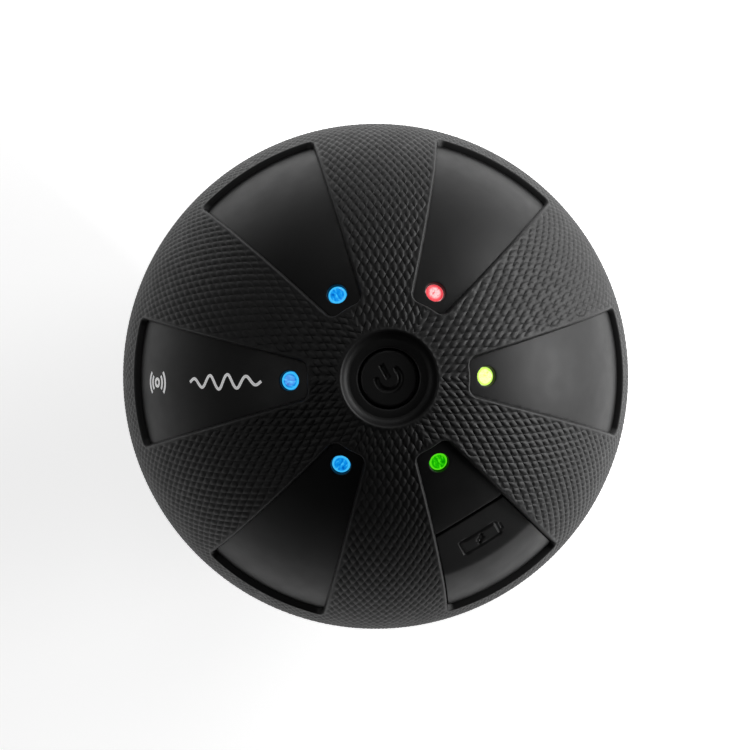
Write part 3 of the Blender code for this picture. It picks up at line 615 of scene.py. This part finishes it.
def build_door():
    a = math.radians(270)
    gap, r = 0.10, 0.16
    ca, sa = math.cos(FACET_TILT), math.sin(FACET_TILT)

    def radius(q):
        flat = FACET_DIST / np.clip(np.hypot(q[:, 0], q[:, 1]) * sa + q[:, 2] * ca, 0.3, None)
        k = 0.05                                           # softens the crease
        return PAD_R - k * np.log1p(np.exp(-np.clip((flat - PAD_R) / k, -60, 60)))

    f_out = lambda q: window_sdf(q) - gap - r
    f_in = lambda q: -q[:, 1] * radius(q) - (DOOR_EDGE + 0.32 + r)
    P, T = grid_patch(math.radians(33.5), WIN_OUT, 10.2, 0.17, a, [f_out, f_in])
    R = radius(P)
    pos = P * R[:, None]
    up = 6.35 - (-pos[:, 1] * ca - pos[:, 2] * sa)          # distance up the facet from the middle of the sign
    stroke = door_icon(pos[:, 0] / 1.22, up / 1.15) * 1.18
    flat_zone = smoothstep(PAD_R - R, 0.02, 0.12)
    plain = R
    R = R - 0.20 * (1 - smoothstep(stroke, 0.10, 0.26)) * flat_zone
    points = P * R[:, None]
    edges = border(T)
    mid = unit(P[edges].mean(1))
    kind = np.argmin(np.stack([np.abs(f_out(mid)), np.abs(f_in(mid))]), 0)
    faces = []
    out_dir = np.where((np.abs(f_in(P)) < np.abs(f_out(P)))[:, None], outward(P, f_in), outward(P, f_out))
    points, low, (ea, eb) = strip(points, faces, edges, lambda ids: fillet_rings(P[ids], out_dir[ids], R[ids], r, 35.5, 4, (36.6,)))
    # underside: a rim round a shallow hollow that clears the plug pocket
    inner = np.minimum(f_out(P), f_in(P))
    R_low = 35.5 + (plain - 1.7 - 35.5) * smoothstep(inner, 0.9, 1.5)
    base = len(points)
    points = np.concatenate([points, P * R_low[:, None]])
    ids = np.unique(edges)
    under = {int(v): base + int(v) for v in ids}
    hi = low
    lo = np.array([under[int(v)] for v in ids])
    faces.append(np.stack([hi[eb], hi[ea], lo[ea], lo[eb]], 1))
    ob = make("charging_door_rubber", points, [T, T[:, ::-1] + base], faces, DOOR, 36.0)
    hinge = next(j for j in frame["joints"] if j["name"] == "door_swing")["pos_m"]
    y, z = hinge[1] / MM, hinge[2] / MM - CZ
    radial = Vector((0, y, z)).normalized()
    down = Vector((0, radial.z * -1, radial.y)) * 1.0      # along the surface, away from the button
    if down.z > 0:
        down = -down
    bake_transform(ob)
    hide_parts("charging_door", "door_hinge_strip")
    return ob


build_door()


# ------------------------------------------------------------------ button, bezel, lenses, pad
def lathe(name, profile, segs, mat, sharp=35.0, at=None):
    """A turned solid from (radius, height) points, outer side from top to bottom."""
    prof = np.array(profile, float)
    n = len(prof)
    ang = np.arange(segs) * 2 * math.pi / segs
    pts = np.concatenate([np.stack([r * np.cos(ang), r * np.sin(ang), np.full(segs, z)], 1) for r, z in prof])
    quads = []
    i = np.arange(segs)
    j = (i + 1) % segs
    for k in range(n - 1):
        quads.append(np.stack([k * segs + i, (k + 1) * segs + i, (k + 1) * segs + j, k * segs + j], 1))
    ob = make(name, pts, [], quads, mat, sharp, rest=at is None)
    bm = bmesh.new()
    bm.from_mesh(ob.data)
    bmesh.ops.remove_doubles(bm, verts=bm.verts, dist=1e-7)
    bmesh.ops.dissolve_degenerate(bm, dist=1e-8, edges=bm.edges)
    holes = [e for e in bm.edges if e.is_boundary]
    if holes:
        bmesh.ops.holes_fill(bm, edges=holes, sides=0)
    bmesh.ops.recalc_face_normals(bm, faces=bm.faces)
    bm.to_mesh(ob.data)
    bm.free()
    ob.data.shade_smooth()
    ob.data.set_sharp_from_angle(angle=math.radians(sharp))
    if at is not None:
        ob.matrix_world = at
    return ob


def rounded(r, z, rf, steps=4, turn=1):
    """Points that round an outer top corner at (r, z)."""
    return [(r - rf + rf * math.sin(math.radians(90 * k / steps)), z - rf + rf * math.cos(math.radians(90 * k / steps))) for k in range(steps + 1)]


def build_button():
    rings = np.concatenate([np.arange(0.10, 3.62, 0.085), [3.66]])
    segs = 168
    ang = np.arange(segs) * 2 * math.pi / segs
    gap_mid = math.radians(87.5)

    def icon(x, y):
        c, s = math.cos(gap_mid), math.sin(gap_mid)
        u, w = x * c + y * s, -x * s + y * c               # u along the bar
        bar = np.maximum(np.abs(w) - 0.40, np.maximum(-u - 0.05, u - 2.25))
        rad, a = np.hypot(u, w), np.abs(np.arctan2(w, u))
        ring = np.abs(rad - 1.70) - 0.44
        lim = math.radians(69)
        e = np.hypot(u - 1.70 * math.cos(lim), np.abs(w) - 1.70 * math.sin(lim)) - 0.44
        ring = np.where(a > lim, ring, e)
        return np.minimum(bar, ring)

    top = FLOOR_Z + 0.22
    pts = [np.array([[0.0, 0.0, top]])]
    for r in rings:
        pts.append(np.stack([r * np.cos(ang), r * np.sin(ang), np.full(segs, top)], 1))
    pts = np.concatenate(pts)
    d = icon(pts[:, 0], pts[:, 1])
    rr = np.hypot(pts[:, 0], pts[:, 1])
    x = np.clip((0.44 + d) / 0.44, 0, 1)                    # 0 on the stroke's centre line, 1 at its edge
    pts[:, 2] += -0.36 * (1 - x ** 2.4) - 0.05 * (rr / 4.0) ** 2
    i = np.arange(segs)
    j = (i + 1) % segs
    tris = [np.stack([np.zeros(segs, np.int64), 1 + i, 1 + j], 1)]
    quads = []
    for k in range(len(rings) - 1):
        a, b = 1 + k * segs, 1 + (k + 1) * segs
        quads.append(np.stack([a + i, b + i, b + j, a + j], 1))
    side = []
    z0 = float(pts[-1, 2])
    for k in range(1, 6):
        t = math.radians(18 * k)
        side.append((3.66 + 0.33 * math.sin(t), z0 - 0.33 * (1 - math.cos(t))))
    side += [(3.99, 34.3), (5.15, 34.28), (5.15, 33.5), (1.55, 33.45), (1.55, 30.65)]
    last = 1 + (len(rings) - 1) * segs
    for r, z in side:
        base = len(pts)
        pts = np.concatenate([pts, np.stack([r * np.cos(ang), r * np.sin(ang), np.full(segs, z)], 1)])
        quads.append(np.stack([last + i, base + i, base + j, last + j], 1))
        last = base
    base = len(pts)
    pts = np.concatenate([pts, [[0.0, 0.0, 30.65]]])
    tris.append(np.stack([np.full(segs, base), last + j, last + i], 1))
    ob = make("power_button_cap", pts, tris, quads, BUTTON, 40.0)
    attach(ob, "button")
    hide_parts("power_button")


build_button()

bezel = lathe("button_bezel", [(4.52, FLOOR_Z + 0.05), (4.56, FLOOR_Z + 0.055), (5.0, FLOOR_Z + 0.056), (5.86, FLOOR_Z + 0.058), (5.9, FLOOR_Z + 0.05), (5.9, 36.95),
                               (4.34, 36.0), (4.34, FLOOR_Z - 0.14), (4.39, FLOOR_Z - 0.02), (4.52, FLOOR_Z + 0.05)], 128, BUTTON, 35.0)
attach(bezel, "ball")

for letter, (az, colour) in zip("abcdef", PANELS.items()):
    a = math.radians(az)
    d = Vector((math.sin(LENS_POLAR) * math.cos(a), math.sin(LENS_POLAR) * math.sin(a), math.cos(LENS_POLAR)))
    turn = d.to_track_quat("Z", "X").to_matrix().to_4x4()
    origin = Matrix.Translation((Vector((0, 0, CZ)) + d * 38.02) * MM) @ turn
    dome = [(0.0, 0.10)] + [(1.12 * math.sin(math.radians(t)), 0.10 - 0.10 * (1 - math.cos(math.radians(t)))) for t in (20, 40, 60, 80, 90)]
    dome += [(1.24, -0.04), (1.30, -0.14), (1.30, -8.1), (1.1, -8.2), (0.0, -8.2)]
    lens = lathe("led_lens_" + letter + "_lit", dome, 48, LENS[colour], 30.0, at=origin)
    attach(lens, "ball")
    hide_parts("led_lens_" + letter)

foot = lathe("base_pad_rubber", [(0.0, -37.6), (6.3, -37.6), (6.5, -37.8), (6.5, -39.0), (6.42, -39.14), (6.25, -CZ), (5.1, -CZ), (4.95, -CZ + 0.25),
                                 (4.45, -CZ + 0.25), (4.3, -CZ), (0.0, -CZ)], 96, PADRUB, 35.0)
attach(foot, "ball")
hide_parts("base_pad")


# ------------------------------------------------------------------ plain white signs printed on one pad
def ribbon(points, width, azimuth, closed=False):
    """A printed stroke on a pad. Points are (distance along the pad from the button's axis, offset across), in mm."""
    pts = np.array(points, float)
    nxt = np.roll(pts, -1, 0) if closed else np.concatenate([pts[1:], [2 * pts[-1] - pts[-2]]])
    prv = np.roll(pts, 1, 0) if closed else np.concatenate([[2 * pts[0] - pts[1]], pts[:-1]])
    t = nxt - prv
    t /= np.linalg.norm(t, axis=1, keepdims=True)
    nrm = np.stack([-t[:, 1], t[:, 0]], 1) * width / 2
    left, right = pts + nrm, pts - nrm

    def lift(q, R):
        theta = q[:, 0] / PAD_R
        phi = azimuth + q[:, 1] / (PAD_R * np.sin(theta))
        return np.stack([np.sin(theta) * np.cos(phi), np.sin(theta) * np.sin(phi), np.cos(theta)], 1) * R

    rows = [lift(left, PAD_R - 0.03), lift(left, PAD_R + 0.03), lift(right, PAD_R + 0.03), lift(right, PAD_R - 0.03)]
    n = len(pts)
    i = np.arange(n if closed else n - 1)
    j = (i + 1) % n
    quads = [np.stack([k * n + i, k * n + j, ((k + 1) % 4) * n + j, ((k + 1) % 4) * n + i], 1) for k in range(4)]
    if not closed:
        quads.append(np.array([[0, n, 2 * n, 3 * n], [4 * n - 1, 3 * n - 1, 2 * n - 1, n - 1]]))
    return np.concatenate(rows), np.concatenate(quads)


def build_print():
    a = math.radians(150)
    strokes = []
    mid = PAD_R * math.radians(59.5)
    ring = [(mid + 0.55 * math.cos(t), 0.55 * math.sin(t)) for t in np.linspace(0, 2 * math.pi, 24, endpoint=False)]
    strokes.append((ring, 0.42, True))
    for r in (1.45, 2.3):
        for s in (0, math.pi):
            strokes.append(([(mid + r * math.cos(s + t), r * math.sin(s + t)) for t in np.linspace(-0.72, 0.72, 17)], 0.42, False))
    start, end = PAD_R * math.radians(27.6), PAD_R * math.radians(46.9)
    n = 121
    wave = []
    for k in range(n):
        x = start + (end - start) * k / (n - 1)
        u = k / (n - 1)
        wave.append((x, 1.05 * math.sin(2 * math.pi * 4 * u) * (0.35 + 0.65 * math.sin(math.pi * u))))
    strokes.append((wave, 0.42, False))
    pts, quads, base = [], [], 0
    for s, w, closed in strokes:
        p, q = ribbon(s, w, a, closed)
        pts.append(p)
        quads.append(q + base)
        base += len(p)
    ob = make("pad_sign_print", np.concatenate(pts), [], quads, PRINT_WITH_PAINTED_GLOW, 30.0)
    bm = bmesh.new()
    bm.from_mesh(ob.data)
    bmesh.ops.recalc_face_normals(bm, faces=bm.faces)
    bm.to_mesh(ob.data)
    bm.free()
    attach(ob, "ball")


build_print()

# ------------------------------------------------------------------ the CAD nodes that stay get their materials
OWN = {
    "upper_housing": INNER, "lower_housing": INNER, "equator_seal": SEAL, "main_board": BOARD, "port_board": BOARD,
    "battery_cell": WRAP, "switch_plunger": DARKP, "controller_chip": DARKP, "charge_port_tongue": DARKP, "motor_end_cap": DARKP,
    "chassis": GREYP, "cell_cradle": GREYP, "motor_magnet_upper": FERRITE, "motor_magnet_lower": FERRITE,
    "cell_lead_plus": REDW, "motor_lead_plus": REDW, "cell_lead_minus": BLACKW, "motor_lead_minus": BLACKW,
    "motor_bushing_front": BRASS, "motor_bushing_rear": BRASS, "eccentric_weight_left": BRASS, "eccentric_weight_right": BRASS,
    "motor_armature": COPPER, "motor_commutator": COPPER,
}
for name, ob in nodes.items():
    mat = OWN.get(name)
    if name.startswith("led_chip_"):
        mat = LENS[list(PANELS.values())["abcdef".index(name[-1])]]
    ob.data.materials.clear()
    ob.data.materials.append(mat or STEEL)
    ob.data.shade_smooth()
    ob.data.set_sharp_from_angle(angle=math.radians(32))

# ------------------------------------------------------------------ floor and light
floor_mat, tree, shader = base_material("studio_floor_white_painted_glow", 0.8)
tree.links.new(ramp(tree, noise(tree, coords(tree), 6.0, 2.0), [(0.3, (0.86, 0.86, 0.86)), (0.7, (0.90, 0.90, 0.90))]), shader.inputs["Base Color"])
shader.inputs["Specular IOR Level"].default_value = 0.1
shader.inputs["Emission Color"].default_value = (1, 1, 1, 1)      # painted light: the floor glows white as if lit, which also hides the ball's shadow on it
# painted pool of light: the floor's glow is strongest near the ball and fades further out
reach = tree.nodes.new("ShaderNodeVectorMath")
reach.operation = "LENGTH"
tree.links.new(coords(tree), reach.inputs[0])
floor_painted_glow = tree.nodes.new("ShaderNodeMapRange")
for key, value in (("From Min", 0.11), ("From Max", 0.26), ("To Min", 0.74), ("To Max", 0.15)):
    floor_painted_glow.inputs[key].default_value = value
tree.links.new(reach.outputs["Value"], floor_painted_glow.inputs["Value"])
side = tree.nodes.new("ShaderNodeVectorMath")                     # painted light: the floor's glow is made stronger on the key lights' side
side.operation = "DOT_PRODUCT"
side.inputs[1].default_value = photo_frame @ Vector((0.707, 0.707, 0.0))
tree.links.new(coords(tree), side.inputs[0])
lift = tree.nodes.new("ShaderNodeMapRange")
for key, value in (("From Min", -0.016), ("From Max", 0.024), ("To Min", 1.0), ("To Max", 1.95)):
    lift.inputs[key].default_value = value
tree.links.new(side.outputs["Value"], lift.inputs["Value"])
both = tree.nodes.new("ShaderNodeMath")
both.operation = "MULTIPLY"
tree.links.new(floor_painted_glow.outputs["Result"], both.inputs[0])
tree.links.new(lift.outputs["Result"], both.inputs[1])
tree.links.new(both.outputs["Value"], shader.inputs["Emission Strength"])
bm = bmesh.new()
bmesh.ops.create_grid(bm, x_segments=2, y_segments=2, size=4.0)
mesh = bpy.data.meshes.new("studio_floor")
bm.to_mesh(mesh)
bm.free()
floor = bpy.data.objects.new("studio_floor", mesh)
mesh.materials.append(floor_mat)
bpy.context.scene.collection.objects.link(floor)

world = bpy.data.worlds.new("studio")
bpy.context.scene.world = world
world.use_nodes = True
tree = world.node_tree
backdrop = tree.nodes["Background"]
backdrop.inputs["Color"].default_value = (1, 1, 1, 1)
where = tree.nodes.new("ShaderNodeTexCoord")
split = tree.nodes.new("ShaderNodeSeparateXYZ")
tree.links.new(where.outputs["Generated"], split.inputs["Vector"])
band = tree.nodes.new("ShaderNodeMapRange")               # a pale studio wall low down, dark overhead
for key, value in (("From Min", 0.02), ("From Max", 0.42), ("To Min", 0.16), ("To Max", 0.0)):
    band.inputs[key].default_value = value
tree.links.new(split.outputs["Z"], band.inputs["Value"])
tree.links.new(band.outputs["Result"], backdrop.inputs["Strength"])


def area(name, right, up, towards, size, power, colour=(1, 1, 1)):
    """A soft box placed in the photograph's own axes, in metres from the ball's centre, facing the ball."""
    light = bpy.data.lights.new(name, "AREA")
    light.shape, light.size, light.energy, light.color = "DISK", size, power, colour
    ob = bpy.data.objects.new(name, light)
    bpy.context.scene.collection.objects.link(ob)
    centre = Vector((0, 0, CZ * MM))
    where = photo_frame @ Vector((right, up, towards))
    ob.matrix_world = Matrix.Translation(centre + where) @ (where.to_track_quat("Z", "Y").to_matrix().to_4x4())


area("key_right", 0.788, 0.0, 0.139, 0.36, 3.25)
area("key_upper_right", 0.682, 0.394, 0.139, 0.36, 3.6)
area("fill_upper", 0.0, 0.706, 0.376, 0.34, 0.52)
area("fill_left", -0.514, 0.0, 0.613, 0.34, 0.40)
area("fill_top", 0.0, 0.247, 0.761, 0.40, 0.15)

bpy.context.scene.view_settings.view_transform = "Standard"
bpy.context.scene.view_settings.look = "None"
